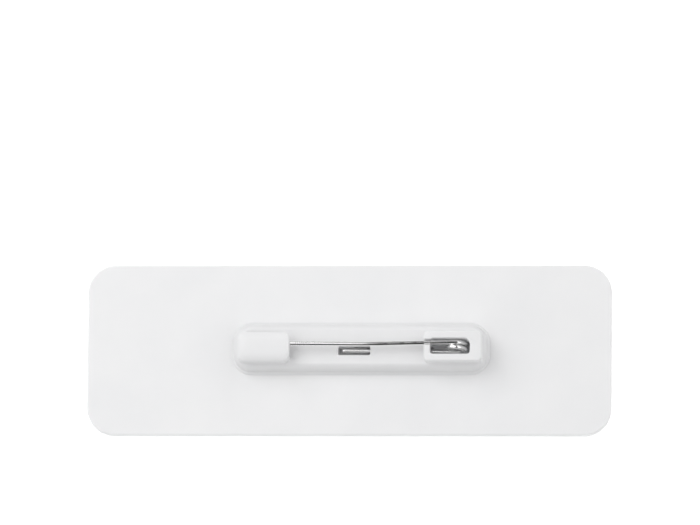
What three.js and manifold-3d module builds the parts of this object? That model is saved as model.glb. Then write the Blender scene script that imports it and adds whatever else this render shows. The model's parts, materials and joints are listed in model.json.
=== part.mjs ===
// A name badge lying face down: a moulded plate with a bar pin standing on its back.
// Millimetres. The origin is the middle of the flat front face. +X runs along the plate,
// +Y across it, and +Z comes out of its back.

import * as THREE from 'three';
import { mergeVertices } from 'three/addons/utils/BufferGeometryUtils.js';
import Module from 'manifold-3d';

// Plate
const PLATE_LENGTH = 76;
const PLATE_WIDTH = 24.9;
const PLATE_THICKNESS = 3;
const PLATE_CORNER = 4;
const CROWN_WIDTH = 4.6; // from the outline in to where the front is flat
const CROWN_DEPTH = 1.8; // how far the crown falls back from the flat front
const CROWN_FULLNESS = 2.6; // exponent of the crown's curve: 2 is an ellipse, more is fuller
const FLAT_CORNER = 0.6; // corner of the flat part of the front
const BACK_EDGE_ROUND = 0.25;

// Pin housing: a long foot, an arched bar on it, and a raised cap at each end
const HOUSING_X = 1.7; // from the middle of the plate to the middle of the foot
const HOUSING_Y = 0.15;
const FOOT_LENGTH = 37.4;
const FOOT_WIDTH = 7.6;
const FOOT_CORNER = 2.9;
const FOOT_HEIGHT = 0.4; // where it meets the bar
const FOOT_EDGE_HEIGHT = 0.12; // at its outline
const BAR_LEDGE = 0.35; // width of the foot that shows round the bar
const BAR_TOP_WIDTH = 4.8;
const BAR_HEIGHT = 2.3;
const BAR_FULLNESS = 1.7; // exponent of the arch's curve
const CAP_Y = -0.26; // from the middle line of the foot to the caps' own
const CAP_WIDTH = 4.34;
const CAP_ROOF = 0.45; // thickness over the pin in the catch
const CAP_TOP_CORNER = 0.5; // share of a cap's corner radius that is left at its top

// Catch cap, open at its inner end and along its +Y side
const CATCH_SETBACK = 1; // from the end of the foot to the cap
const CATCH_LENGTH = 7.64;
const CATCH_END_WALL = 1.3;
const CATCH_SIDE_WALL = 0.75;
const CATCH_CORNER = 1;
const CATCH_SHOULDER = 1.4; // width of the rounding at its outer end
const CATCH_SIDE_ROUND = 1.3;
const CATCH_MOUTH_ROUND = 0.25;
const CATCH_ROUND_DEPTH = 0.8; // how far down its roundings reach

// Coil cap, with a pocket for the coil and a slot for the arm
const COIL_CAP_SETBACK = 1;
const COIL_CAP_LENGTH = 8.35;
const COIL_CAP_CORNER = 0.6;
const COIL_CAP_ROUND = 0.25;
const COIL_CAP_ROUND_DEPTH = 0.25;
const POCKET_INNER_WALL = 0.9;
const POCKET_OUTER_WALL = 1.7;
const POCKET_SIDE_WALL = 1.02;
const POCKET_FLOOR = 0.6;
const POCKET_CORNER = 0.4;
const POCKET_FAR_CORNER = 0.9; // the outer corner beside the arm's turn of the coil

// Window over the tip of the fixed arm
const WINDOW_X = -0.85;
const WINDOW_Y = -0.58;
const WINDOW_LENGTH = 4.65;
const WINDOW_WIDTH = 1.24;
const WINDOW_CORNER = 0.25;

// Steel pin, coiled one and a half turns between its two arms
const WIRE_DIAMETER = 0.7;
const COIL_RADIUS = 1.3; // from the axis to the middle of the wire
const COIL_PITCH = 0.735;
const COIL_TURNS = 1.5;
const ANCHOR_TURN = 190; // degrees of the coil that belong to the fixed arm
const ARM_TURN = 250; // degrees of the coil that belong to the moving arm
const POINT_LENGTH = 3;
const POINT_TIP = 0.06;
const POINT_WAIST = { along: 0.7, radius: 0.55 }; // a ring of the point, as shares of its size
const FIXED_TIP_Y = 0.18; // from the window's middle line to the tip of the fixed arm
const ARM_BEND_X = 1; // the slight bend halfway along the moving arm
const ARM_BEND_Y = 0.4; // from the caps' middle line
const ARM_CATCH_Y = 0.51; // from the caps' middle line
const ARM_RISE = 0.3; // how far the arm rises from the coil to its bend

// Clearances
const WIRE_SIDE_GAP = 0.05; // from the arm to the side of its slot and of the pocket
const COIL_FLOOR_GAP = 0.1;
const COIL_END_GAP = 0.4;
const CATCH_ROOF_GAP = 0.2;
const SLOT_FLOOR_GAP = 0.25;
const SLOT_INNER_GAP = 0.15; // on the arm's other side
const GROOVE_SIDE_GAP = 0.2;
const GROOVE_ROOF_GAP = 0.3;
const FIXED_TIP_GAP = 0.55; // from the tip of the fixed arm to the end of the window
const POINT_GAP = 0.6; // from the point of the pin to the end of the catch

// Facets
const CORNER_STEPS = 8;
const SMALL_CORNER_STEPS = 4;
const CROWN_STEPS = 9;
const ARCH_STEPS = 5;
const ROUND_STEPS = 3;
const WIRE_SIDES = 10;
const WIRE_STEP = 0.42; // length of wire between two sections
const CUT_OVERRUN = 1; // how far a cut runs past the face that it opens

const wasm = await Module();
wasm.setup();

// Sizes that follow from the ones above. Inside the housing, x = 0 is the middle of the foot,
// y = 0 its middle line, and z = 0 the back of the plate.
const wireRadius = WIRE_DIAMETER / 2;
const coilOuterRadius = COIL_RADIUS + wireRadius;
const coilZ = POCKET_FLOOR + COIL_FLOOR_GAP + coilOuterRadius;
const armCoilZ = coilZ + COIL_RADIUS;
const armCatchZ = armCoilZ + ARM_RISE;
const fixedArmZ = coilZ - COIL_RADIUS;
const catchRoofZ = armCatchZ + wireRadius + CATCH_ROOF_GAP;
const capHeight = catchRoofZ + CAP_ROOF;
const footEnd = FOOT_LENGTH / 2;
const capLow = CAP_Y - CAP_WIDTH / 2;
const capHigh = CAP_Y + CAP_WIDTH / 2;
const catchOuter = -footEnd + CATCH_SETBACK;
const catchMouth = catchOuter + CATCH_LENGTH;
const catchInner = catchOuter + CATCH_END_WALL;
const coilCapOuter = footEnd - COIL_CAP_SETBACK;
const coilCapInner = coilCapOuter - COIL_CAP_LENGTH;
const pocketInner = coilCapInner + POCKET_INNER_WALL;
const pocketOuter = coilCapOuter - POCKET_OUTER_WALL;
const pocketLow = capLow + POCKET_SIDE_WALL;
const pocketHigh = capHigh - POCKET_SIDE_WALL;
const coilX = pocketOuter - COIL_END_GAP - coilOuterRadius;
const armCoilY = pocketHigh - WIRE_SIDE_GAP - wireRadius;
const armBendY = CAP_Y + ARM_BEND_Y;
const armCatchY = CAP_Y + ARM_CATCH_Y;
const armWallShare = (pocketInner - ARM_BEND_X) / (coilX - ARM_BEND_X);
const armWallY = armBendY + (armCoilY - armBendY) * armWallShare;
const fixedArmY = armCoilY - COIL_PITCH * COIL_TURNS;
const coilEndTurn = 360 * COIL_TURNS;
const windowInner = WINDOW_X - WINDOW_LENGTH / 2;
const fixedTipX = windowInner + FIXED_TIP_GAP;
const fixedTipY = WINDOW_Y + FIXED_TIP_Y;
const pointX = catchInner + POINT_GAP;

// How far a rounding has come in from the side, as a share of its width, at a share of its
// height: a superellipse quarter that starts upright and ends level.
function roundedShare(heightShare, fullness) {
  return 1 - Math.pow(1 - Math.pow(heightShare, fullness), 1 / fullness);
}

// Points of a rectangle with rounded corners, anticlockwise. The corner at the high end of
// the right side may have a radius of its own.
function roundedOutline({ left, right, low, high, corner, highRight = corner }, steps) {
  const corners = [
    { x: right - corner, y: low + corner, radius: corner, turn: -1 },
    { x: right - highRight, y: high - highRight, radius: highRight, turn: 0 },
    { x: left + corner, y: high - corner, radius: corner, turn: 1 },
    { x: left + corner, y: low + corner, radius: corner, turn: 2 },
  ];
  return corners.flatMap(({ x, y, radius, turn }) =>
    Array.from({ length: steps + 1 }, (_, step) => {
      const angle = (turn + step / steps) * Math.PI / 2;
      return new THREE.Vector2(x + radius * Math.cos(angle), y + radius * Math.sin(angle));
    }));
}

function centredSection(x, y, length, width, corner, z) {
  return {
    left: x - length / 2,
    right: x + length / 2,
    low: y - width / 2,
    high: y + width / 2,
    corner,
    z,
  };
}

// A closed body through rounded rectangles that lie one above the other, lowest first
function stackedBody(sections, steps) {
  const rings = sections.map((section) => roundedOutline(section, steps)
    .map((point) => [point.x, point.y, section.z]));
  const count = rings[0].length;
  const faces = [];
  for (let ring = 0; ring + 1 < rings.length; ring += 1) {
    for (let point = 0; point < count; point += 1) {
      const next = (point + 1) % count;
      const below = ring * count;
      const above = below + count;
      faces.push(below + point, below + next, above + next);
      faces.push(below + point, above + next, above + point);
    }
  }
  const top = (rings.length - 1) * count;
  for (let point = 1; point + 1 < count; point += 1) {
    faces.push(0, point + 1, point);
    faces.push(top, top + point, top + point + 1);
  }
  const geometry = new THREE.BufferGeometry();
  geometry.setAttribute('position', new THREE.Float32BufferAttribute(rings.flat(2), 3));
  geometry.setIndex(faces);
  return geometry;
}

function box(left, right, low, high, bottom, top) {
  const geometry = new THREE.BoxGeometry(right - left, high - low, top - bottom);
  return geometry.translate((left + right) / 2, (low + high) / 2, (bottom + top) / 2);
}

function toSolid(geometry) {
  const bare = geometry.clone();
  bare.deleteAttribute('normal');
  bare.deleteAttribute('uv');
  const merged = mergeVertices(bare);
  return new wasm.Manifold(new wasm.Mesh({
    numProp: 3,
    vertProperties: Float32Array.from(merged.attributes.position.array),
    triVerts: Uint32Array.from(merged.index.array),
  }));
}

function toGeometry(solid) {
  const { vertProperties, triVerts } = solid.getMesh();
  const geometry = new THREE.BufferGeometry();
  geometry.setAttribute('position', new THREE.Float32BufferAttribute(vertProperties, 3));
  geometry.setIndex(Array.from(triVerts));
  return geometry;
}

function namedMesh(name, geometry, material) {
  geometry.computeVertexNormals();
  const mesh = new THREE.Mesh(geometry, material);
  mesh.name = name;
  return mesh;
}

function whitePlastic() {
  return new THREE.MeshStandardMaterial({ color: 0xf2f2f3, roughness: 0.3, metalness: 0 });
}

function brightSteel() {
  return new THREE.MeshStandardMaterial({ color: 0xc4c6c8, roughness: 0.18, metalness: 1 });
}

// The plate: the crown rises from the flat front to the upright side, and its corners open
// out evenly from the flat's edge to the outline
function badgePlate() {
  const section = (inset, z) => {
    const corner = PLATE_CORNER + (FLAT_CORNER - PLATE_CORNER) * inset / CROWN_WIDTH;
    return centredSection(0, 0, PLATE_LENGTH - 2 * inset, PLATE_WIDTH - 2 * inset, corner, z);
  };
  const crown = Array.from({ length: CROWN_STEPS + 1 }, (_, step) => {
    const share = Math.sin((step / CROWN_STEPS) * Math.PI / 2);
    const inset = CROWN_WIDTH * (1 - share);
    return section(inset, CROWN_DEPTH * roundedShare(share, CROWN_FULLNESS));
  });
  const backEdge = Array.from({ length: ROUND_STEPS + 1 }, (_, step) => {
    const share = step / ROUND_STEPS;
    const z = PLATE_THICKNESS - BACK_EDGE_ROUND * (1 - share);
    return section(BACK_EDGE_ROUND * roundedShare(share, 2), z);
  });
  return stackedBody([...crown, ...backEdge], CORNER_STEPS);
}

// The foot, whose top falls to a thin edge, and the arched bar on it
function housingBar() {
  const section = (inset, z) => centredSection(
    0, 0, FOOT_LENGTH - 2 * inset, FOOT_WIDTH - 2 * inset, FOOT_CORNER - inset, z);
  const archSpread = (FOOT_WIDTH - BAR_TOP_WIDTH) / 2 - BAR_LEDGE;
  const arch = Array.from({ length: ARCH_STEPS + 1 }, (_, step) => {
    const share = step / ARCH_STEPS;
    const inset = BAR_LEDGE + archSpread * roundedShare(share, BAR_FULLNESS);
    return section(inset, FOOT_HEIGHT + (BAR_HEIGHT - FOOT_HEIGHT) * share);
  });
  return stackedBody([section(0, 0), section(0, FOOT_EDGE_HEIGHT), ...arch], CORNER_STEPS);
}

// A cap that stands on the foot, with its top edges rounded over by a width of their own
function cap({ left, right, corner, leftRound, sideRound, rightRound, roundDepth }) {
  const section = (share, z) => ({
    left: left + leftRound * share,
    right: right - rightRound * share,
    low: capLow + sideRound * share,
    high: capHigh - sideRound * share,
    corner: corner * (1 - (1 - CAP_TOP_CORNER) * share),
    z,
  });
  const rounding = Array.from({ length: ROUND_STEPS + 1 }, (_, step) => {
    const share = Math.sin((step / ROUND_STEPS) * Math.PI / 2);
    return section(roundedShare(share, 2), capHeight - roundDepth * (1 - share));
  });
  return stackedBody([section(0, 0), ...rounding], SMALL_CORNER_STEPS);
}

function coilPocket() {
  const section = (z) => ({
    left: pocketInner,
    right: pocketOuter,
    low: pocketLow,
    high: pocketHigh,
    corner: POCKET_CORNER,
    highRight: POCKET_FAR_CORNER,
    z,
  });
  return stackedBody([section(POCKET_FLOOR), section(capHeight + CUT_OVERRUN)], SMALL_CORNER_STEPS);
}

// The slot lets the moving arm out of the pocket and up
function armSlot() {
  const low = armWallY - wireRadius - SLOT_INNER_GAP;
  const high = armWallY + wireRadius + WIRE_SIDE_GAP;
  const bottom = armCoilZ - wireRadius - SLOT_FLOOR_GAP;
  const left = coilCapInner - CUT_OVERRUN;
  const right = pocketInner + POCKET_CORNER;
  return box(left, right, low, high, bottom, capHeight + CUT_OVERRUN);
}

// The catch opens towards the coil and to the side that the pin is pushed out of
function catchRoom() {
  const low = capLow + CATCH_SIDE_WALL;
  const right = catchMouth + CUT_OVERRUN;
  return box(catchInner, right, low, capHigh + CUT_OVERRUN, BAR_HEIGHT, catchRoofZ);
}

function tipWindow() {
  const section = (z) => centredSection(
    WINDOW_X, WINDOW_Y, WINDOW_LENGTH, WINDOW_WIDTH, WINDOW_CORNER, z);
  return stackedBody([section(-CUT_OVERRUN), section(BAR_HEIGHT + CUT_OVERRUN)], SMALL_CORNER_STEPS);
}

// The fixed arm lies in a groove under the bar, from the pocket to the window
function fixedArmGroove() {
  const side = wireRadius + GROOVE_SIDE_GAP;
  const low = Math.min(fixedArmY, fixedTipY) - side;
  const high = Math.max(fixedArmY, fixedTipY) + side;
  const top = fixedArmZ + wireRadius + GROOVE_ROOF_GAP;
  return box(WINDOW_X, pocketInner + POCKET_CORNER, low, high, -CUT_OVERRUN, top);
}

function pinHousing() {
  const catchCap = cap({
    left: catchOuter,
    right: catchMouth,
    corner: CATCH_CORNER,
    leftRound: CATCH_SHOULDER,
    sideRound: CATCH_SIDE_ROUND,
    rightRound: CATCH_MOUTH_ROUND,
    roundDepth: CATCH_ROUND_DEPTH,
  });
  const coilCap = cap({
    left: coilCapInner,
    right: coilCapOuter,
    corner: COIL_CAP_CORNER,
    leftRound: COIL_CAP_ROUND,
    sideRound: COIL_CAP_ROUND,
    rightRound: COIL_CAP_ROUND,
    roundDepth: COIL_CAP_ROUND_DEPTH,
  });
  const body = toSolid(housingBar()).add(toSolid(catchCap)).add(toSolid(coilCap));
  const cuts = [coilPocket(), armSlot(), catchRoom(), tipWindow(), fixedArmGroove()];
  return toGeometry(cuts.reduce((solid, cut) => solid.subtract(toSolid(cut)), body));
}

// The middle of the wire in the coil, at an angle counted from where the fixed arm meets it,
// at the bottom, towards the outer end and up
class CoilTurn extends THREE.Curve {
  constructor(from, to) {
    super();
    this.from = from;
    this.to = to;
  }

  getPoint(share, target = new THREE.Vector3()) {
    const degrees = this.from + (this.to - this.from) * share;
    const angle = THREE.MathUtils.degToRad(degrees);
    return target.set(
      coilX + COIL_RADIUS * Math.sin(angle),
      fixedArmY + COIL_PITCH * degrees / 360,
      coilZ - COIL_RADIUS * Math.cos(angle),
    );
  }
}

function straight(from, to) {
  return new THREE.LineCurve3(new THREE.Vector3(...from), new THREE.Vector3(...to));
}

function wireAlong(curves) {
  const path = new THREE.CurvePath();
  curves.forEach((curve) => path.add(curve));
  const outline = Array.from({ length: WIRE_SIDES }, (_, side) => {
    const angle = (side / WIRE_SIDES) * 2 * Math.PI;
    return new THREE.Vector2(wireRadius * Math.cos(angle), wireRadius * Math.sin(angle));
  });
  const steps = Math.ceil(path.getLength() / WIRE_STEP);
  const section = new THREE.Shape(outline);
  return new THREE.ExtrudeGeometry(section, { extrudePath: path, steps, bevelEnabled: false });
}

// The fixed arm runs straight into the bottom of the coil
function pinAnchor() {
  return wireAlong([
    straight([fixedTipX, fixedTipY, fixedArmZ], [coilX, fixedArmY, fixedArmZ]),
    new CoilTurn(0, ANCHOR_TURN),
  ]);
}

// The moving arm rises from the top of the coil to its bend, and from there lies level into
// the catch, where it ends in a needle point
function pinArm() {
  const shankEnd = pointX + POINT_LENGTH;
  const shank = wireAlong([
    straight([shankEnd, armCatchY, armCatchZ], [ARM_BEND_X, armBendY, armCatchZ]),
    straight([ARM_BEND_X, armBendY, armCatchZ], [coilX, armCoilY, armCoilZ]),
    new CoilTurn(coilEndTurn, coilEndTurn - ARM_TURN),
  ]);
  const profile = [
    new THREE.Vector2(0, -wireRadius),
    new THREE.Vector2(wireRadius, -wireRadius),
    new THREE.Vector2(wireRadius, 0),
    new THREE.Vector2(wireRadius * POINT_WAIST.radius, POINT_LENGTH * POINT_WAIST.along),
    new THREE.Vector2(POINT_TIP, POINT_LENGTH),
    new THREE.Vector2(0, POINT_LENGTH),
  ];
  const point = new THREE.LatheGeometry(profile, WIRE_SIDES);
  point.rotateZ(Math.PI / 2).translate(shankEnd, armCatchY, armCatchZ);
  return toGeometry(toSolid(shank).add(toSolid(point)));
}

const badge = new THREE.Group();
badge.add(namedMesh('badge_plate', badgePlate(), whitePlastic()));

const pin = new THREE.Group();
pin.position.set(HOUSING_X, HOUSING_Y, PLATE_THICKNESS);
pin.add(namedMesh('pin_housing', pinHousing(), whitePlastic()));
pin.add(namedMesh('pin_anchor', pinAnchor(), brightSteel()));
pin.add(namedMesh('pin_arm', pinArm(), brightSteel()));
badge.add(pin);

export default badge;
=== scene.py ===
"""A white plastic name badge that lies face down, with a bar pin standing on its back."""

import json

import bpy
import numpy as np
from bpy.props import FloatProperty, FloatVectorProperty, PointerProperty
from mathutils import Matrix, Vector


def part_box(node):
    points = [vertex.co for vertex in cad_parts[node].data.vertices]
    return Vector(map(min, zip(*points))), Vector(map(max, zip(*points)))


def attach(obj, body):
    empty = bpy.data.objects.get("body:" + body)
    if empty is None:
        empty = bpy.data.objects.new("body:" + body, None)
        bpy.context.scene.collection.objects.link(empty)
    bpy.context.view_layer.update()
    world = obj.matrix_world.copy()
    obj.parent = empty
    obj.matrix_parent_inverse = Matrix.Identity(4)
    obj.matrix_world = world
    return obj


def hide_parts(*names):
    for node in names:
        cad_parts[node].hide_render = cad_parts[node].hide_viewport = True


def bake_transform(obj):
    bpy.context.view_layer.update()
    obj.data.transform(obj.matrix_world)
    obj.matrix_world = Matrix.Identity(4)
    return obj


bl_info = {
    "name": "Name badge with a bar pin",
    "version": (1, 0, 0),
    "blender": (4, 5, 0),
    "location": "View3D > Sidebar > Badge",
    "description": "Dresses a packed name badge in its moulded plastic and drawn steel",
    "category": "Add Mesh",
}

MM = 0.001

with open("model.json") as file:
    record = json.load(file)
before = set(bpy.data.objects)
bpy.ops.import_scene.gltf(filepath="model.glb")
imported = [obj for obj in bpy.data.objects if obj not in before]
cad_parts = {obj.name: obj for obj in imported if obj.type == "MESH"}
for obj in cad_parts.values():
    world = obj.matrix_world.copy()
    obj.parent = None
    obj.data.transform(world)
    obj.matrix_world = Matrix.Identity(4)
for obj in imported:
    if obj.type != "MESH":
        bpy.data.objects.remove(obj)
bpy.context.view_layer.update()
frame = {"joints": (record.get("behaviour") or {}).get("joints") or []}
plate_low, plate_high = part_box("badge_plate")
housing_low, housing_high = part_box("pin_housing")
anchor_low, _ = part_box("pin_anchor")
arm_low, arm_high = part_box("pin_arm")
hinge = frame["joints"][0]

# How finely the surfaces are divided
PLATE_CORNER_STEPS = 24
CORNER_STEPS = 12
CROWN_STEPS = 28
ARCH_STEPS = 16
ROUND_STEPS = 8
FILLET_STEPS = 5
WIRE_SIDES = 28
WIRE_STEP = 0.3 * MM
COIL_STEP = np.radians(3)

# How far one shell reaches into or past another, so that their faces never coincide
OVERLAP = 0.02 * MM
CUT_OVERRUN = 1.5 * MM

# Steepest turn between faces that are still shaded as one surface, in degrees
PLATE_SMOOTHNESS = 40
HOUSING_SMOOTHNESS = 30
WIRE_SMOOTHNESS = 50

# Radii inside the housing and share of the wire's thickness at its cut end
CATCH_ROOM_CORNER = 0.3 * MM
CUT_CORNER = 0.12 * MM
POCKET_FLOOR_ROUND = 0.15 * MM
CUT_END_SHARE = 0.55

# From the fixed arm's tip round to the moving arm: one turn and a half
COIL_TURN = 3 * np.pi


def length(name, description, default, highest=0.2):
    return FloatProperty(
        name=name, description=description, default=default, min=0, max=highest,
        precision=5, subtype="DISTANCE", unit="LENGTH",
    )


def share(name, description, default):
    return FloatProperty(
        name=name, description=description, default=default, min=0, max=1, subtype="FACTOR",
    )


def number(name, description, default):
    return FloatProperty(name=name, description=description, default=default, min=0)


def colour(name, description, default):
    return FloatVectorProperty(
        name=name, description=description, default=default, size=3, min=0, max=1,
        subtype="COLOR",
    )


def angle(name, description, degrees):
    return FloatProperty(
        name=name, description=description, default=np.radians(degrees), subtype="ANGLE",
        unit="ROTATION",
    )


class PlateSizes(bpy.types.PropertyGroup):
    """Sizes of the moulded plate"""

    corner: length("Corner", "Radius of the plate's outline at its corners", 4 * MM)
    crown_width: length("Crown width", "From the outline in to where the front is flat", 4.6 * MM)
    crown_depth: length("Crown depth", "How far the crown falls back from the front", 1.8 * MM)
    crown_fullness: number("Crown fullness", "Exponent of the crown's curve, 2 is an ellipse", 2.6)
    flat_corner: length("Flat corner", "Corner radius of the flat part of the front", 0.6 * MM)
    back_edge: length("Back edge", "Radius of the edge round the back", 0.25 * MM)


class HousingSizes(bpy.types.PropertyGroup):
    """Sizes of the pin's housing"""

    foot_corner: length("Foot corner", "Corner radius of the foot", 2.9 * MM)
    foot_height: length("Foot height", "Thickness of the foot where it meets the bar", 0.4 * MM)
    foot_edge_height: length("Foot edge height", "Thickness of the foot's edge", 0.12 * MM)
    foot_fullness: number("Foot fullness", "Exponent of the foot's sloping top", 1.25)
    ledge: length("Ledge", "Width of the foot that shows round the bar", 0.35 * MM)
    bar_top_width: length("Bar top width", "Width of the bar's flat top", 4.8 * MM)
    bar_height: length("Bar height", "From the plate to the bar's top", 2.3 * MM)
    bar_fullness: number("Bar fullness", "Exponent of the bar's arch", 1.7)
    cap_side: length("Cap side", "Middle line of the caps below the foot's", 0.26 * MM)
    cap_width: length("Cap width", "Width of both caps", 4.34 * MM)
    cap_fillet: length("Cap fillet", "Radius where a cap grows out of the bar", 0.07 * MM)
    cap_top_corner: share("Cap top corner", "Part of a cap's corner radius left at its top", 0.5)
    cap_setback: length("Cap setback", "From each end of the foot to the cap", 1 * MM)
    catch_length: length("Catch length", "Length of the catch cap", 7.64 * MM)
    catch_end_wall: length("Catch end wall", "Wall at the catch's outer end", 1.3 * MM)
    catch_side_wall: length("Catch side wall", "Wall along the catch's closed side", 0.75 * MM)
    catch_roof: length("Catch roof", "Thickness over the pin", 0.45 * MM)
    catch_corner: length("Catch corner", "Corner radius, seen from above", 1 * MM)
    catch_shoulder: length("Catch shoulder", "Width of the rounding at its outer end", 1.4 * MM)
    catch_side_round: length("Catch side rounding", "Width of its side roundings", 1.3 * MM)
    catch_mouth_round: length("Catch mouth rounding", "Width of the mouth's rounding", 0.25 * MM)
    catch_round_depth: length("Catch rounding depth", "How far down they reach", 0.8 * MM)
    coil_cap_length: length("Coil cap length", "Length of the coil cap", 8.35 * MM)
    coil_cap_corner: length("Coil cap corner", "Corner radius, seen from above", 0.6 * MM)
    coil_cap_round: length("Coil cap rounding", "Width of the coil cap's roundings", 0.25 * MM)
    coil_round_depth: length("Coil cap rounding depth", "How far down they reach", 0.25 * MM)
    pocket_inner_wall: length("Pocket inner wall", "Wall towards the catch", 0.9 * MM)
    pocket_outer_wall: length("Pocket outer wall", "Wall at the outer end", 1.7 * MM)
    pocket_side_wall: length("Pocket side wall", "Walls beside the pocket", 1.02 * MM)
    pocket_floor: length("Pocket floor", "From the plate to the pocket's floor", 0.6 * MM)
    pocket_corner: length("Pocket corner", "Corner radius of the pocket", 0.4 * MM)
    pocket_far_corner: length("Pocket far corner", "Corner radius beside the arm's turn", 0.9 * MM)
    pocket_rim: length("Pocket rim", "Radius of the pocket's upper edge", 0.12 * MM)
    window_x: length("Window place", "Middle of the window left of the bar's middle", 0.85 * MM)
    window_y: length("Window side", "Middle of the window below the foot's middle", 0.58 * MM)
    window_length: length("Window length", "Length of the window", 4.65 * MM)
    window_width: length("Window width", "Width of the window", 1.24 * MM)
    window_corner: length("Window corner", "Corner radius of the window", 0.25 * MM)
    window_rim: length("Window rim", "Radius of the window's upper edge", 0.12 * MM)


class WireSizes(bpy.types.PropertyGroup):
    """Sizes of the steel pin"""

    diameter: length("Wire diameter", "Diameter of the spring wire", 0.7 * MM)
    tip_round: length("Tip rounding", "How far the fixed arm's cut end is rounded", 0.12 * MM)
    point_length: length("Point length", "Length of the ground point", 3 * MM)
    fixed_tip_y: length("Tip side", "Fixed arm's tip above the window's middle line", 0.18 * MM)
    bend_x: length("Bend place", "Slight bend of the moving arm, from the foot's middle", 1 * MM)
    bend_y: length("Bend side", "Bend above the caps' middle line", 0.4 * MM)
    catch_y: length("Catch side place", "Point above the caps' middle line", 0.51 * MM)
    bend_softness: length("Bend softness", "Length over which the arm bends", 0.5 * MM)
    coil_radius: length("Coil radius", "From the coil's axis to the middle of the wire", 1.3 * MM)
    side_gap: length("Side gap", "From the fixed arm to the side of its groove", 0.2 * MM)
    slot_gap: length("Slot gap", "From the arm to the high side of its slot", 0.05 * MM)
    slot_inner_gap: length("Slot inner gap", "From the arm to its low side", 0.15 * MM)
    slot_floor_gap: length("Slot floor gap", "From the arm to the floor of its slot", 0.25 * MM)
    groove_roof_gap: length("Groove roof gap", "Over the fixed arm in its groove", 0.3 * MM)
    coil_ease: angle("Coil ease", "Turn over which the coil takes up its pitch", 40)


class Finishes(bpy.types.PropertyGroup):
    """Colours and gloss of the badge's materials"""

    plastic: colour("Plastic", "Colour of the white moulded plastic", (0.87, 0.87, 0.875))
    plastic_shade: colour("Plastic shade", "Its faint flow clouding", (0.845, 0.847, 0.855))
    pin_plastic: colour("Pin plastic", "Colour of the housing's plastic", (0.835, 0.835, 0.842))
    pin_plastic_shade: colour("Pin plastic shade", "Its clouding", (0.815, 0.817, 0.825))
    plastic_roughness: share("Plastic roughness", "Roughness of the moulded skin", 0.5)
    steel: colour("Steel", "Colour of the nickel-plated wire", (0.95, 0.95, 0.945))
    steel_shade: colour("Steel shade", "Colour in the drawing lines", (0.82, 0.82, 0.82))
    steel_roughness: share("Steel roughness", "Roughness of the drawn wire", 0.1)
    floor: colour("Floor", "Colour of the pale floor", (0.9, 0.9, 0.9))


class StageSettings(bpy.types.PropertyGroup):
    """Floor, camera and light"""

    badge_column: number("Badge column", "Where the badge's middle falls in the picture", 349.9)
    badge_row: number("Badge row", "Where the badge's middle falls in the picture", 351.7)
    badge_pixels: number("Badge pixels", "Length of the badge in the picture", 524.4)
    camera_distance: length("Camera distance", "From the badge to the camera", 1.6, 5)
    camera_lean: angle("Camera lean", "Lean of the view away from straight down", 8.8)
    camera_side: angle("Camera side", "Lean of the view towards the coil end", 3.55)
    key_power: number("Key power", "Power of the soft light from the upper left, in watts", 1.14)
    key_size: length("Key size", "Side of the soft light", 0.42, 5)
    sky_strength: number("Sky strength", "Strength of the light from all round", 1.115)
    floor_glow: number("Floor glow", "How much the floor glows, as a light table does", 0.42)


class BadgeSettings(bpy.types.PropertyGroup):
    """Every size and colour of the badge"""

    plate: PointerProperty(type=PlateSizes)
    housing: PointerProperty(type=HousingSizes)
    wire: PointerProperty(type=WireSizes)
    finishes: PointerProperty(type=Finishes)
    stage: PointerProperty(type=StageSettings)


def settings():
    return bpy.context.scene.name_badge


def rounded_rings(left, right, low, high, corner, height, steps):
    """Rounded rectangles that lie one above the other, as rings by points by (x, y, z).

    A point is the centre of its corner plus the corner's radius times the cosine and the sine
    of an angle that runs through a quarter turn. A size is one number or a column with one for
    each ring, the corner may hold four for each ring, and the height one for each point.
    """
    quarter = np.linspace(0, np.pi / 2, steps + 1)
    turn = (np.arange(-1, 3)[:, None] * np.pi / 2 + quarter).ravel()
    is_right = np.repeat([True, True, False, False], steps + 1)
    is_high = np.repeat([False, True, True, False], steps + 1)
    radius = np.asarray(corner, float)
    if radius.ndim == 2 and radius.shape[1] == 4:
        radius = np.repeat(radius, steps + 1, axis=1)
    x = np.where(is_right, right - radius, left + radius) + radius * np.cos(turn)
    y = np.where(is_high, high - radius, low + radius) + radius * np.sin(turn)
    return np.stack(np.broadcast_arrays(x, y, height), axis=-1)


def rounded_quarter(fullness, steps):
    """A superellipse quarter from upright to level, as two columns of shares.

    With t from 0 to a quarter turn, the way in is 1 - cos(t) ^ (2 / fullness) and the way up
    is sin(t) ^ (2 / fullness).
    """
    turn = np.linspace(0, np.pi / 2, steps + 1)[:, None]
    inward = 1 - np.clip(np.cos(turn), 0, 1) ** (2 / fullness)
    return inward, np.sin(turn) ** (2 / fullness)


def column(*parts):
    """One column of numbers from parts that are numbers or columns."""
    return np.concatenate([np.reshape(part, (-1, 1)) for part in parts])


def shell_faces(ring_count, point_count):
    """Quads between neighbouring rings, and strips laid across the first and the last ring."""
    index = np.arange(ring_count * point_count).reshape(ring_count, point_count)
    ahead = np.roll(index, -1, axis=1)
    sides = np.stack([index[:-1], ahead[:-1], ahead[1:], index[1:]], axis=-1).reshape(-1, 4)
    near = np.arange(point_count // 2 - 1)
    far = point_count - 1 - near
    first = index[0][np.stack([near, far, far - 1, near + 1], axis=-1)]
    last = index[-1][np.stack([near, near + 1, far - 1, far], axis=-1)]
    return np.concatenate([sides, first, last])


def new_object(name, points, faces):
    mesh = bpy.data.meshes.new(name)
    mesh.from_pydata(points.reshape(-1, 3).tolist(), [], [list(face) for face in faces])
    mesh.validate()
    piece = bpy.data.objects.new(name, mesh)
    bpy.context.scene.collection.objects.link(piece)
    return piece


def shell(name, rings):
    """A closed body through its rings, lowest first."""
    return new_object(name, rings, shell_faces(*rings.shape[:2]))


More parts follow.
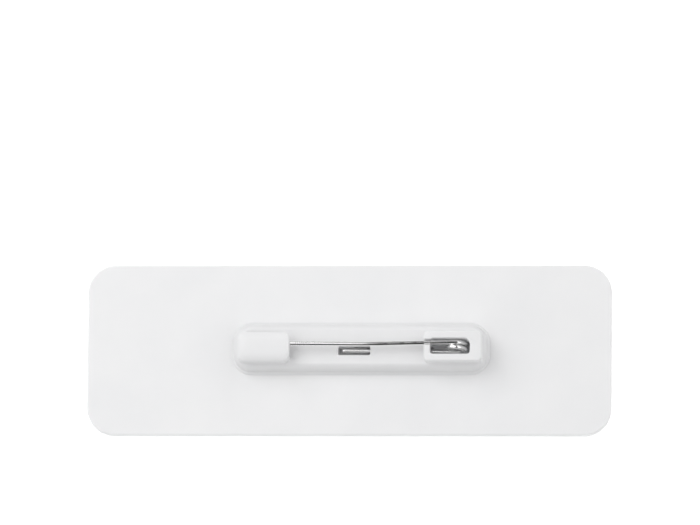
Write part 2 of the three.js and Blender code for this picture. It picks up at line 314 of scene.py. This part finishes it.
def combine(body, tool, operation):
    """Adds the tool's shell to the body, or cuts it out, and takes the tool away."""
    modifier = body.modifiers.new(operation.capitalize(), "BOOLEAN")
    modifier.operation = operation
    modifier.solver = "EXACT"
    modifier.object = tool
    graph = bpy.context.evaluated_depsgraph_get()
    made = bpy.data.meshes.new_from_object(body.evaluated_get(graph))
    body.modifiers.clear()
    old, body.data = body.data, made
    made.name = body.name
    bpy.data.meshes.remove(old)
    bpy.data.meshes.remove(tool.data)


def shade_moulding(piece, smoothness):
    """Smooth shading that keeps the flat faces flat and the steps crisp."""
    piece.data.shade_smooth()
    piece.data.set_sharp_from_angle(angle=np.radians(smoothness))
    modifier = piece.modifiers.new("Even shading", "WEIGHTED_NORMAL")
    modifier.mode = "FACE_AREA"
    modifier.keep_sharp = True


def plate_rings(sizes):
    """The plate from its flat front up to its back.

    Each ring is the outline moved inwards. Along the crown the way in and the way up follow a
    superellipse quarter from level to upright, and the back edge is a round quarter.
    """
    upright, level = rounded_quarter(sizes.crown_fullness, CROWN_STEPS)
    edge_in, edge_up = rounded_quarter(2, ROUND_STEPS)
    crown_in = sizes.crown_width * (1 - level)
    crown_up = sizes.crown_depth * upright
    inset = column(crown_in, sizes.back_edge * edge_in)
    height = column(crown_up, plate_high.z - sizes.back_edge * (1 - edge_up))
    corner_change = (sizes.flat_corner - sizes.corner) / sizes.crown_width
    return rounded_rings(
        plate_low.x + inset, plate_high.x - inset, plate_low.y + inset, plate_high.y - inset,
        sizes.corner + corner_change * inset, height, PLATE_CORNER_STEPS,
    )


class HousingPlaces:
    """Where the housing's parts lie, in the badge's frame."""

    def __init__(self, housing, wire):
        self.base = plate_high.z
        self.x = (housing_low.x + housing_high.x) / 2
        self.y = (housing_low.y + housing_high.y) / 2
        self.top = housing_high.z
        self.bar_top = self.base + housing.bar_height
        self.cap_y = self.y - housing.cap_side
        self.low = self.cap_y - housing.cap_width / 2
        self.high = self.cap_y + housing.cap_width / 2
        self.catch_outer = housing_low.x + housing.cap_setback
        self.catch_mouth = self.catch_outer + housing.catch_length
        self.coil_outer = housing_high.x - housing.cap_setback
        self.coil_inner = self.coil_outer - housing.coil_cap_length
        self.pocket_inner = self.coil_inner + housing.pocket_inner_wall
        self.pocket_outer = self.coil_outer - housing.pocket_outer_wall
        self.pocket_low = self.low + housing.pocket_side_wall
        self.pocket_high = self.high - housing.pocket_side_wall
        self.window_x = self.x - housing.window_x
        self.window_y = self.y - housing.window_y
        self.wire_radius = wire.diameter / 2
        self.arm_y = arm_high.y - self.wire_radius
        self.arm_z = hinge["pos_m"][2] + wire.coil_radius
        self.catch_z = arm_high.z - self.wire_radius
        self.fixed_z = hinge["pos_m"][2] - wire.coil_radius
        self.fixed_y = anchor_low.y + self.wire_radius
        self.fixed_tip_y = self.window_y + wire.fixed_tip_y
        self.bend_x = self.x + wire.bend_x
        self.bend_y = self.cap_y + wire.bend_y
        run = (self.pocket_inner - self.bend_x) / (hinge["pos_m"][0] - self.bend_x)
        self.wall_y = self.bend_y + (self.arm_y - self.bend_y) * run


def bar_height_at(x, y, housing, places):
    """Height of the foot and the arched bar over a place.

    The way in from the foot's rounded outline, less the ledge, is a share of the arch's
    spread, and the arch's superellipse turns it into a share of the arch's rise.
    """
    half_x = (housing_high.x - housing_low.x) / 2 - housing.foot_corner
    half_y = (housing_high.y - housing_low.y) / 2 - housing.foot_corner
    past_x = np.abs(x - places.x) - half_x
    past_y = np.abs(y - places.y) - half_y
    outside = np.hypot(np.maximum(past_x, 0), np.maximum(past_y, 0))
    inward = housing.foot_corner - outside - np.minimum(np.maximum(past_x, past_y), 0)
    spread = (housing_high.y - housing_low.y - housing.bar_top_width) / 2 - housing.ledge
    way_in = np.clip((inward - housing.ledge) / spread, 0, 1)
    full = housing.bar_fullness
    way_up = (1 - (1 - way_in) ** full) ** (1 / full)
    rise = housing.bar_height - housing.foot_height
    return places.base + housing.foot_height + rise * way_up


def bar_rings(housing, places):
    """The foot, whose top falls to a thin edge, and the bar's superellipse arch on it."""
    edge_in, edge_up = rounded_quarter(housing.foot_fullness, FILLET_STEPS)
    arch_in, arch_up = rounded_quarter(housing.bar_fullness, ARCH_STEPS)
    spread = (housing_high.y - housing_low.y - housing.bar_top_width) / 2 - housing.ledge
    rise = housing.bar_height - housing.foot_height
    inset = column(0, housing.ledge * edge_in[:-1], housing.ledge + spread * arch_in)
    edge_rise = housing.foot_height - housing.foot_edge_height
    height = places.base + column(
        -OVERLAP,
        housing.foot_edge_height + edge_rise * edge_up[:-1],
        housing.foot_height + rise * arch_up,
    )
    return rounded_rings(
        housing_low.x + inset, housing_high.x - inset,
        housing_low.y + inset, housing_high.y - inset,
        housing.foot_corner - inset, height, CORNER_STEPS,
    )


def cap_rings(housing, places, left, right, cap_corner, left_round, side_round, right_round, depth):
    """A cap from inside the bar up to its flat top.

    A round fillet, whose foot follows the bar's surface, leads into the upright wall. Above
    it each side goes in by a quarter ellipse of its own width.
    """
    round_in, round_up = rounded_quarter(2, ROUND_STEPS)
    fillet_up, fillet_in = rounded_quarter(2, FILLET_STEPS)
    outward = housing.cap_fillet * column(1, 1 - fillet_in, 0 * round_in)
    inward = column(0, 0 * fillet_in, round_in)
    corner = cap_corner * (1 - (1 - housing.cap_top_corner) * inward) + outward

    def rings(height):
        return rounded_rings(
            left - outward + left_round * inward, right + outward - right_round * inward,
            places.low - outward + side_round * inward,
            places.high + outward - side_round * inward,
            corner, height, CORNER_STEPS,
        )

    flat = rings(0)
    bar = bar_height_at(flat[..., 0], flat[..., 1], housing, places)
    low_count = 1 + len(fillet_in)
    height = np.empty(flat.shape[:2])
    height[0] = bar[0] - housing.cap_fillet
    height[1:low_count] = bar[1:low_count] + housing.cap_fillet * fillet_up
    height[low_count:] = places.top - depth * (1 - round_up)
    return rings(height)


def flared_cut(left, right, low, high, corner, floor, rim_z, rim, floor_round=0):
    """A cut with upright walls, a rounded floor edge and a mouth that flares to a round rim."""
    flare_out, flare_up = rounded_quarter(2, FILLET_STEPS)
    floor_up, floor_out = rounded_quarter(2, FILLET_STEPS)
    outward = column(-floor_round * (1 - floor_out), rim * flare_out, rim)
    height = column(
        floor + floor_round * floor_up, rim_z - rim * (1 - flare_up), rim_z + CUT_OVERRUN,
    )
    return rounded_rings(
        left - outward, right + outward, low - outward, high + outward,
        corner + outward, height, CORNER_STEPS,
    )


def box_cut(left, right, low, high, bottom, top, corner=CUT_CORNER):
    """A straight cut with rounded upright edges."""
    return rounded_rings(left, right, low, high, corner, column(bottom, top), FILLET_STEPS)


def housing_shells(housing, wire):
    """The bar, its two caps and everything that is cut into them, joined to one moulding."""
    places = HousingPlaces(housing, wire)
    catch = shell("catch", cap_rings(
        housing, places, places.catch_outer, places.catch_mouth, housing.catch_corner,
        housing.catch_shoulder, housing.catch_side_round, housing.catch_mouth_round,
        housing.catch_round_depth,
    ))
    combine(catch, shell("room", box_cut(
        places.catch_outer + housing.catch_end_wall, places.catch_mouth + CUT_OVERRUN,
        places.low + housing.catch_side_wall, places.high + CUT_OVERRUN,
        places.base, places.top - housing.catch_roof, CATCH_ROOM_CORNER,
    )), "DIFFERENCE")
    coil_round = housing.coil_cap_round
    coil_cap = shell("coil_cap", cap_rings(
        housing, places, places.coil_inner, places.coil_outer, housing.coil_cap_corner,
        coil_round, coil_round, coil_round, housing.coil_round_depth,
    ))
    body = shell("moulded_pin_base", bar_rings(housing, places))
    combine(body, catch, "UNION")
    combine(body, coil_cap, "UNION")
    corners = np.array([[
        housing.pocket_corner, housing.pocket_far_corner,
        housing.pocket_corner, housing.pocket_corner,
    ]])
    combine(body, shell("pocket", flared_cut(
        places.pocket_inner, places.pocket_outer, places.pocket_low, places.pocket_high,
        corners, places.base + housing.pocket_floor, places.top, housing.pocket_rim,
        POCKET_FLOOR_ROUND,
    )), "DIFFERENCE")
    radius = places.wire_radius
    combine(body, shell("slot", box_cut(
        places.coil_inner - CUT_OVERRUN, places.pocket_inner + housing.pocket_corner,
        places.wall_y - radius - wire.slot_inner_gap, places.wall_y + radius + wire.slot_gap,
        places.arm_z - radius - wire.slot_floor_gap, places.top + CUT_OVERRUN,
    )), "DIFFERENCE")
    half_length, half_width = housing.window_length / 2, housing.window_width / 2
    combine(body, shell("window", flared_cut(
        places.window_x - half_length, places.window_x + half_length,
        places.window_y - half_width, places.window_y + half_width,
        housing.window_corner, places.base - CUT_OVERRUN, places.bar_top, housing.window_rim,
    )), "DIFFERENCE")
    groove_side = radius + wire.side_gap
    combine(body, shell("groove", box_cut(
        places.window_x, places.pocket_inner + housing.pocket_corner,
        places.fixed_y - groove_side, places.fixed_tip_y + groove_side,
        places.base - CUT_OVERRUN, places.fixed_z + radius + wire.groove_roof_gap,
    )), "DIFFERENCE")
    return body


def wire_route(housing, wire):
    """The middle of the wire from the fixed arm's tip through the coil to the point.

    The fixed arm is straight. In the coil the wire turns about the hinge's axis while it moves
    sideways by an eased ramp: level at both ends and even between them. The moving arm is two
    straight lines, seen from above and from the side, whose slopes change into each other by a
    smooth step's integral.
    """
    places = HousingPlaces(housing, wire)
    coil_x, _, coil_z = hinge["pos_m"]
    coil_radius = wire.coil_radius
    tip_x = anchor_low.x
    steps = int((coil_x - tip_x) / WIRE_STEP)
    run = np.linspace(0, 1, steps, endpoint=False)
    dome = wire.tip_round * np.linspace(0, 1, FILLET_STEPS, endpoint=False) ** 2 / (coil_x - tip_x)
    run = np.concatenate([dome, run[run > dome[-1] * 2]])
    fixed = np.stack([
        tip_x + (coil_x - tip_x) * run,
        places.fixed_tip_y + (places.fixed_y - places.fixed_tip_y) * run,
        np.full(len(run), places.fixed_z),
    ], axis=-1)

    turn = np.linspace(0, COIL_TURN, int(COIL_TURN / COIL_STEP), endpoint=False)
    ease = wire.coil_ease
    start = np.minimum(turn, ease)
    end = np.maximum(turn - (COIL_TURN - ease), 0)
    ramp = (turn - start + start ** 2 / (2 * ease) - end ** 2 / (2 * ease)) / (COIL_TURN - ease)
    coil = np.stack([
        coil_x + coil_radius * np.sin(turn),
        places.fixed_y + (places.arm_y - places.fixed_y) * ramp,
        coil_z - coil_radius * np.cos(turn),
    ], axis=-1)

    point_x = arm_low.x
    steps = int((coil_x - point_x) / WIRE_STEP)
    x = coil_x + (point_x - coil_x) * np.linspace(0, 1, steps)
    bend_x, bend_y = places.bend_x, places.bend_y
    catch_y = places.cap_y + wire.catch_y
    coil_slope = (places.arm_y - bend_y) / (coil_x - bend_x)
    catch_slope = (bend_y - catch_y) / (bend_x - point_x - wire.point_length)
    soft = wire.bend_softness
    past_bend = soft * np.logaddexp(0, (x - bend_x) / soft)
    y = bend_y + catch_slope * (x - bend_x) + (coil_slope - catch_slope) * past_bend
    z = places.catch_z + (places.arm_z - places.catch_z) / (coil_x - bend_x) * past_bend
    arm = np.stack([x, y, z], axis=-1)
    return np.concatenate([fixed, coil, arm]), places.wire_radius


def pin_wire(housing, wire):
    """A round section carried along the wire's route.

    The section stands square to the route, between a sideways direction and its cross product
    with the route's. Its radius grows from a part of itself at the cut end to the whole by a
    quarter ellipse, and falls to the point as the square root of what is left.
    """
    middle, radius = wire_route(housing, wire)
    ahead = np.gradient(middle, axis=0)
    ahead /= np.linalg.norm(ahead, axis=1, keepdims=True)
    sideways = np.array([0, 1, 0]) - ahead * ahead[:, 1:2]
    sideways /= np.linalg.norm(sideways, axis=1, keepdims=True)
    upwards = np.cross(ahead, sideways)
    leg = np.linalg.norm(np.diff(middle, axis=0), axis=1)
    along = np.concatenate([[0], np.cumsum(leg)])
    left_over = along[-1] - along
    cut_share = np.clip(along / wire.tip_round, 0, 1)
    cut_end = CUT_END_SHARE + (1 - CUT_END_SHARE) * np.sqrt(1 - (1 - cut_share) ** 2)
    point = np.sqrt(np.clip(left_over / wire.point_length, 0, 1))
    width = radius * cut_end * point
    turn = np.arange(WIRE_SIDES) * 2 * np.pi / WIRE_SIDES
    cosine, sine = np.cos(turn)[None, :, None], np.sin(turn)[None, :, None]
    across = cosine * sideways[:, None] + sine * upwards[:, None]
    rings = middle[:, None] + width[:, None, None] * across
    ring_count, side_count = rings.shape[:2]
    index = np.arange((ring_count - 1) * side_count).reshape(ring_count - 1, side_count)
    next_side = np.roll(index, -1, axis=1)
    sides = np.stack([index[:-1], next_side[:-1], next_side[1:], index[1:]], axis=-1).reshape(-1, 4)
    tip, pole = index.size, index.size + 1
    cut_fan = np.stack([np.full(side_count, tip), next_side[0], index[0]], axis=-1)
    point_fan = np.stack([index[-1], next_side[-1], np.full(side_count, pole)], axis=-1)
    points = np.concatenate([rings[:-1].reshape(-1, 3), middle[:1], middle[-1:]])
    faces = [*sides.tolist(), *cut_fan.tolist(), *point_fan.tolist()]
    piece = new_object("pin_wire", points, faces)
    run = np.zeros((len(points), 3))
    run[:index.size, 0] = np.tile(radius * np.cos(turn), ring_count - 1)
    run[:index.size, 1] = np.tile(radius * np.sin(turn), ring_count - 1)
    run[:index.size, 2] = np.repeat(along[:-1], side_count)
    run[pole, 2] = along[-1]
    lines = piece.data.attributes.new("wire_run", "FLOAT_VECTOR", "POINT")
    lines.data.foreach_set("vector", run.astype(np.float32).ravel())
    piece.data.shade_smooth()
    piece.data.set_sharp_from_angle(angle=np.radians(WIRE_SMOOTHNESS))
    return piece


# Sockets of a Mix node that works on colours
MIX_FIRST_COLOUR = 6
MIX_SECOND_COLOUR = 7
MIX_RESULT_COLOUR = 2


def set_map_range(node, from_low, from_high, low, high):
    """Sets which range a Map Range node reads and which it gives."""
    node.inputs["From Min"].default_value = from_low
    node.inputs["From Max"].default_value = from_high
    node.inputs["To Min"].default_value = low
    node.inputs["To Max"].default_value = high


class Finish:
    """A node material with its Principled shader, and short ways to add nodes to it."""

    def __init__(self, name):
        self.material = bpy.data.materials.new(name)
        self.material.use_nodes = True
        self.tree = self.material.node_tree
        self.shader = self.tree.nodes["Principled BSDF"]

    def add(self, kind, **values):
        node = self.tree.nodes.new(kind)
        for name, value in values.items():
            if name in node.inputs:
                node.inputs[name].default_value = value
            else:
                setattr(node, name, value)
        return node

    def link(self, source, target):
        self.tree.links.new(source, target)

    def noise(self, coordinates, scale, detail):
        node = self.add("ShaderNodeTexNoise", Scale=scale, Detail=detail)
        self.link(coordinates, node.inputs["Vector"])
        return node.outputs["Fac"]

    def spread(self, value, low, high, from_low=0.3, from_high=0.7):
        """Maps what a noise gives onto a range."""
        node = self.add("ShaderNodeMapRange")
        set_map_range(node, from_low, from_high, low, high)
        self.link(value, node.inputs["Value"])
        return node.outputs["Result"]

    def mix(self, factor, first, second):
        """Blends two colours. Several sockets of the node share a name, so they go by number."""
        node = self.add("ShaderNodeMix", data_type="RGBA")
        node.inputs[MIX_FIRST_COLOUR].default_value = (*first, 1)
        node.inputs[MIX_SECOND_COLOUR].default_value = (*second, 1)
        self.link(factor, node.inputs["Factor"])
        return node.outputs[MIX_RESULT_COLOUR]

    def bump(self, height, distance, strength, under=None):
        node = self.add("ShaderNodeBump", Distance=distance, Strength=strength)
        self.link(height, node.inputs["Height"])
        if under is not None:
            self.link(under, node.inputs["Normal"])
        return node.outputs["Normal"]

    def stretched(self, coordinates, scale):
        node = self.add("ShaderNodeMapping", Scale=scale)
        self.link(coordinates, node.inputs["Vector"])
        return node.outputs["Vector"]


# The plastic's patterns: features to a metre, and how high or deep they stand
CLOUD_SCALE = 130
GRAIN_SCALE = 9000
WAVE_SCALE = 420
GLOSS_SCALE = 2600
SCRATCH_SCALE = (900, 16000, 900)
SCRATCH_BAND = (0.70, 0.74)
WAVE_HEIGHT = 0.02 * MM
GRAIN_HEIGHT = 0.004 * MM
SCRATCH_DEPTH = 0.002 * MM
WAVE_STRENGTH = 0.25
GRAIN_STRENGTH = 0.35
SCRATCH_STRENGTH = 0.2

# How much rougher and smoother than its middle value the plastic is in places
PLASTIC_SMOOTHER = 0.05
PLASTIC_ROUGHER = 0.06

# How the plastic bends light, and how much of it travels under the skin and how far
PLASTIC_IOR = 1.53
LIGHT_UNDER_SKIN = 0.25
LIGHT_DEPTH = 0.5 * MM


def moulded_plastic(name, tone, shade):
    """White moulded plastic: faint flow clouding, a satin grain from the mould, soft waviness
    and a few hair-fine handling scratches."""
    finish = Finish(name)
    place = finish.add("ShaderNodeTexCoord").outputs["Object"]
    clouds = finish.noise(place, CLOUD_SCALE, 3)
    grain = finish.noise(place, GRAIN_SCALE, 2)
    waves = finish.noise(place, WAVE_SCALE, 1)
    scratches = finish.noise(finish.stretched(place, SCRATCH_SCALE), 1, 1)
    hairs = finish.spread(scratches, 0, 1, *SCRATCH_BAND)
    finish.link(
        finish.mix(finish.spread(clouds, 0, 1), tone, shade),
        finish.shader.inputs["Base Color"],
    )
    rough = settings().finishes.plastic_roughness
    gloss = finish.noise(place, GLOSS_SCALE, 3)
    finish.link(
        finish.spread(gloss, rough - PLASTIC_SMOOTHER, rough + PLASTIC_ROUGHER),
        finish.shader.inputs["Roughness"],
    )
    normal = finish.bump(waves, WAVE_HEIGHT, WAVE_STRENGTH)
    normal = finish.bump(grain, GRAIN_HEIGHT, GRAIN_STRENGTH, normal)
    normal = finish.bump(hairs, SCRATCH_DEPTH, SCRATCH_STRENGTH, normal)
    finish.link(normal, finish.shader.inputs["Normal"])
    finish.shader.inputs["IOR"].default_value = PLASTIC_IOR
    finish.shader.inputs["Subsurface Weight"].default_value = LIGHT_UNDER_SKIN
    finish.shader.inputs["Subsurface Radius"].default_value = (1, 1, 1)
    finish.shader.inputs["Subsurface Scale"].default_value = LIGHT_DEPTH
    return finish.material


# The steel's patterns: features to a metre, the drawing lines' stretch along the wire, the
# band of the noise that shows as lines, and how deep the lines are
LINE_SCALE = 16000
LINE_STRETCH = (1, 1, 0.02)
LINE_BAND = (0.45, 0.7)
LINE_SHARE = 0.5
LINE_DEPTH = 0.004 * MM
LINE_STRENGTH = 0.3
PLATING_SCALE = 1400

# How much rougher and smoother than its middle value the steel is in places
STEEL_SMOOTHER = 0.03
STEEL_ROUGHER = 0.05


def drawn_steel():
    """Nickel-plated spring wire: lines along the wire from the drawing die, and faint
    clouding of the plating. Both follow the wire's own run."""
    finishes = settings().finishes
    finish = Finish("drawn nickel-plated steel")
    run = finish.add("ShaderNodeAttribute", attribute_name="wire_run").outputs["Vector"]
    lines = finish.noise(finish.stretched(run, LINE_STRETCH), LINE_SCALE, 3)
    clouding = finish.noise(run, PLATING_SCALE, 2)
    finish.link(
        finish.mix(
            finish.spread(lines, 0, LINE_SHARE, *LINE_BAND), finishes.steel, finishes.steel_shade,
        ),
        finish.shader.inputs["Base Color"],
    )
    rough = finishes.steel_roughness
    finish.link(
        finish.spread(clouding, rough - STEEL_SMOOTHER, rough + STEEL_ROUGHER),
        finish.shader.inputs["Roughness"],
    )
    finish.link(
        finish.bump(lines, LINE_DEPTH, LINE_STRENGTH), finish.shader.inputs["Normal"],
    )
    finish.shader.inputs["Metallic"].default_value = 1
    return finish.material


# The floor's mottling: features to a metre and how dark it gets, and the floor's roughness
MOTTLE_SCALE = 40
MOTTLE_SHARE = 0.985
FLOOR_ROUGHNESS = 0.7


def light_table():
    """A pale floor with a faint glow of its own, so that it stays white in the shadows."""
    finish = Finish("pale floor")
    place = finish.add("ShaderNodeTexCoord").outputs["Object"]
    base = settings().finishes.floor
    darker = [MOTTLE_SHARE * part for part in base]
    finish.link(
        finish.mix(finish.noise(place, MOTTLE_SCALE, 3), base, darker),
        finish.shader.inputs["Base Color"],
    )
    finish.shader.inputs["Roughness"].default_value = FLOOR_ROUGHNESS
    finish.shader.inputs["Emission Color"].default_value = (1, 1, 1, 1)
    finish.shader.inputs["Emission Strength"].default_value = settings().stage.floor_glow
    return finish.material


class BADGE_OT_plate(bpy.types.Operator):
    """Makes the moulded plate, crowned on its front and flat on its back"""

    bl_idname = "name_badge.plate"
    bl_label = "Make the plate"

    def execute(self, context):
        plate = shell("moulded_plate", plate_rings(settings().plate))
        shade_moulding(plate, PLATE_SMOOTHNESS)
        finishes = settings().finishes
        plate.data.materials.append(moulded_plastic(
            "white plate plastic", finishes.plastic, finishes.plastic_shade,
        ))
        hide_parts("badge_plate")
        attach(plate, "badge")
        return {"FINISHED"}


class BADGE_OT_pin_base(bpy.types.Operator):
    """Makes the pin's housing: foot, bar, catch and coil cap in one moulding"""

    bl_idname = "name_badge.pin_base"
    bl_label = "Make the pin's housing"

    def execute(self, context):
        base = housing_shells(settings().housing, settings().wire)
        shade_moulding(base, HOUSING_SMOOTHNESS)
        finishes = settings().finishes
        base.data.materials.append(moulded_plastic(
            "white pin plastic", finishes.pin_plastic, finishes.pin_plastic_shade,
        ))
        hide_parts("pin_housing")
        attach(base, "badge")
        return {"FINISHED"}


class BADGE_OT_pin_wire(bpy.types.Operator):
    """Makes the pin from one wire: fixed arm, coil, and moving arm with its point"""

    bl_idname = "name_badge.pin_wire"
    bl_label = "Make the wire"

    def execute(self, context):
        wire = pin_wire(settings().housing, settings().wire)
        wire.data.materials.append(drawn_steel())
        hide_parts("pin_anchor", "pin_arm")
        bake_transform(wire)
        return {"FINISHED"}


class BADGE_OT_stage(bpy.types.Operator):
    """Makes the floor, the camera and the soft light"""

    bl_idname = "name_badge.stage"
    bl_label = "Set the stage"

    def execute(self, context):
        make_floor()
        make_camera(context.scene)
        make_light(context.scene)
        return {"FINISHED"}


FLOOR_HALF = 2.5

# The picture in pixels, the camera's sensor in millimetres and what it can see, in metres
PICTURE_WIDTH = 700
PICTURE_HEIGHT = 525
SENSOR = 36
NEAREST_SEEN = 0.01
FARTHEST_SEEN = 50

# Where the soft light hangs
KEY_DIRECTION = Vector((-0.51, 0.37, 0.777))
KEY_DISTANCE = 0.58

# Where the sky grows dimmer, as a part of its direction from where to where, and to what share
FAR_SIDE = (-0.65, 0.75, 0.1)
FAR_FADE = (0.35, 0.95)
FAR_SHARE = 0.4
HORIZON_FADE = (0, 0.5)
HORIZON_SHARE = 0.35
NEAR_FADE = (-0.9, -0.1)
NEAR_SHARE = 0.75

# Edges of the dark gaps and of the slot, as parts of the direction, and how dark they are
GAP_LEFT = (-0.24, -0.18)
GAP_RIGHT = (0.18, 0.24)
CAMERA_GAP_END = (-0.46, -0.38)
FAR_GAP_START = (0.88, 0.95)
FAR_GAP_DARKNESS = 0.75
SLOT_LEFT = (-0.05, -0.025)
SLOT_RIGHT = (0.16, 0.24)
SLOT_END = (0.8, 0.95)
DARKEST_SHARE = 0.05


def make_floor():
    corners = np.array([[-1, -1, 0], [1, -1, 0], [1, 1, 0], [-1, 1, 0]]) * FLOOR_HALF
    floor = new_object("floor", corners, [[0, 1, 2, 3]])
    floor.data.materials.append(light_table())


def make_camera(scene):
    """The camera leans off straight down, and then turns so that the badge falls in its place
    in the lower half of the picture."""
    stage = settings().stage
    back = Vector((np.tan(stage.camera_side), -np.tan(stage.camera_lean), 1)).normalized()
    right = (Vector((1, 0, 0)) - back * back.x).normalized()
    up = back.cross(right)
    middle = (Vector(plate_low) + Vector(plate_high)) / 2
    badge_length = plate_high.x - plate_low.x
    picture_length = badge_length * PICTURE_WIDTH / stage.badge_pixels
    camera = bpy.data.objects.new("camera", bpy.data.cameras.new("camera"))
    camera.data.sensor_width = SENSOR
    camera.data.lens = SENSOR * stage.camera_distance / picture_length
    pixel = picture_length / PICTURE_WIDTH / stage.camera_distance
    tip_up = np.arctan((stage.badge_row - PICTURE_HEIGHT / 2) * pixel)
    turn = np.arctan((stage.badge_column - PICTURE_WIDTH / 2) * pixel)
    facing = Matrix((right, up, back)).transposed()
    facing = facing @ Matrix.Rotation(turn, 3, "Y") @ Matrix.Rotation(tip_up, 3, "X")
    place = Matrix.Translation(middle + back * stage.camera_distance)
    camera.matrix_world = place @ facing.to_4x4()
    camera.data.clip_start = NEAREST_SEEN
    camera.data.clip_end = FARTHEST_SEEN
    scene.collection.objects.link(camera)
    scene.camera = camera


class SkyPart:
    """Short ways to work out the sky's brightness from the direction that it is seen in."""

    def __init__(self, tree):
        self.tree = tree
        direction = tree.nodes.new("ShaderNodeTexCoord").outputs["Generated"]
        self.direction = direction
        parts = tree.nodes.new("ShaderNodeSeparateXYZ")
        tree.links.new(direction, parts.inputs[0])
        self.x, self.y, self.z = parts.outputs

    def step(self, value, begin, end, low=0, high=1):
        """A smooth step from low, up to begin, to high, from end on."""
        node = self.tree.nodes.new("ShaderNodeMapRange")
        node.interpolation_type = "SMOOTHSTEP"
        set_map_range(node, begin, end, low, high)
        self.tree.links.new(value, node.inputs["Value"])
        return node.outputs["Result"]

    def join(self, operation, first, second):
        node = self.tree.nodes.new("ShaderNodeMath")
        node.operation = operation
        self.tree.links.new(first, node.inputs[0])
        self.tree.links.new(second, node.inputs[1])
        return node.outputs[0]

    def times(self, first, second):
        return self.join("MULTIPLY", first, second)

    def between(self, left, right, most=1):
        """A band of the sky from one edge to the other, seen from left to right."""
        return self.times(self.step(self.x, *left), self.step(self.x, *right, most, 0))

    def toward(self, direction):
        """How nearly the sky is seen in a direction: 1 in it, 0 square to it."""
        node = self.tree.nodes.new("ShaderNodeVectorMath")
        node.operation = "DOT_PRODUCT"
        node.inputs[1].default_value = Vector(direction).normalized()
        self.tree.links.new(self.direction, node.inputs[0])
        return node.outputs["Value"]


def sky_brightness(tree):
    """A pale sky: dimmer towards the horizon, on the near side and low down on the far side,
    dark in the gap behind the camera and in the one across from it, and dark in a slot overhead
    where the soft box on the left ends."""
    sky = SkyPart(tree)
    strength = settings().stage.sky_strength
    far_side = sky.toward(FAR_SIDE)
    brightness = sky.step(far_side, *FAR_FADE, strength, FAR_SHARE * strength)
    camera_gap = sky.times(
        sky.between(GAP_LEFT, GAP_RIGHT), sky.step(sky.y, *CAMERA_GAP_END, 1, 0),
    )
    slot = sky.times(sky.between(SLOT_LEFT, SLOT_RIGHT), sky.step(sky.y, *SLOT_END, 1, 0))
    far_gap = sky.times(
        sky.between(GAP_LEFT, GAP_RIGHT, FAR_GAP_DARKNESS), sky.step(sky.y, *FAR_GAP_START),
    )
    dark = sky.join("MAXIMUM", sky.join("MAXIMUM", camera_gap, slot), far_gap)
    brightness = sky.times(brightness, sky.step(sky.z, *HORIZON_FADE, HORIZON_SHARE, 1))
    brightness = sky.times(brightness, sky.step(sky.y, *NEAR_FADE, NEAR_SHARE, 1))
    return sky.times(brightness, sky.step(dark, 0, 1, 1, DARKEST_SHARE))


def make_light(scene):
    """A soft key light from the upper left, and the sky round about."""
    stage = settings().stage
    key = bpy.data.objects.new("key", bpy.data.lights.new("key", "AREA"))
    key.data.energy = stage.key_power
    key.data.size = stage.key_size
    direction = KEY_DIRECTION.normalized()
    turn = direction.to_track_quat("Z", "Y").to_matrix().to_4x4()
    key.matrix_world = Matrix.Translation(direction * KEY_DISTANCE) @ turn
    scene.collection.objects.link(key)

    world = bpy.data.worlds.new("studio")
    world.use_nodes = True
    scene.world = world
    tree = world.node_tree
    background = tree.nodes["Background"]
    background.inputs["Color"].default_value = (1, 1, 1, 1)
    tree.links.new(sky_brightness(tree), background.inputs["Strength"])
    scene.view_settings.view_transform = "Standard"


class BADGE_PT_sidebar(bpy.types.Panel):
    """Lists what makes the badge"""

    bl_idname = "BADGE_PT_sidebar"
    bl_label = "Name badge"
    bl_space_type = "VIEW_3D"
    bl_region_type = "UI"
    bl_category = "Badge"

    def draw(self, context):
        for maker in MAKERS:
            self.layout.operator(maker.bl_idname)


MAKERS = (BADGE_OT_plate, BADGE_OT_pin_base, BADGE_OT_pin_wire, BADGE_OT_stage)
CLASSES = (
    PlateSizes, HousingSizes, WireSizes, Finishes, StageSettings, BadgeSettings,
    *MAKERS, BADGE_PT_sidebar,
)


def register():
    for kind in CLASSES:
        bpy.utils.register_class(kind)
    bpy.types.Scene.name_badge = PointerProperty(type=BadgeSettings)


def unregister():
    del bpy.types.Scene.name_badge
    for kind in reversed(CLASSES):
        bpy.utils.unregister_class(kind)


def main():
    register()
    bpy.ops.name_badge.stage()
    bpy.ops.name_badge.plate()
    bpy.ops.name_badge.pin_base()
    bpy.ops.name_badge.pin_wire()


if __name__ == "__main__":
    main()
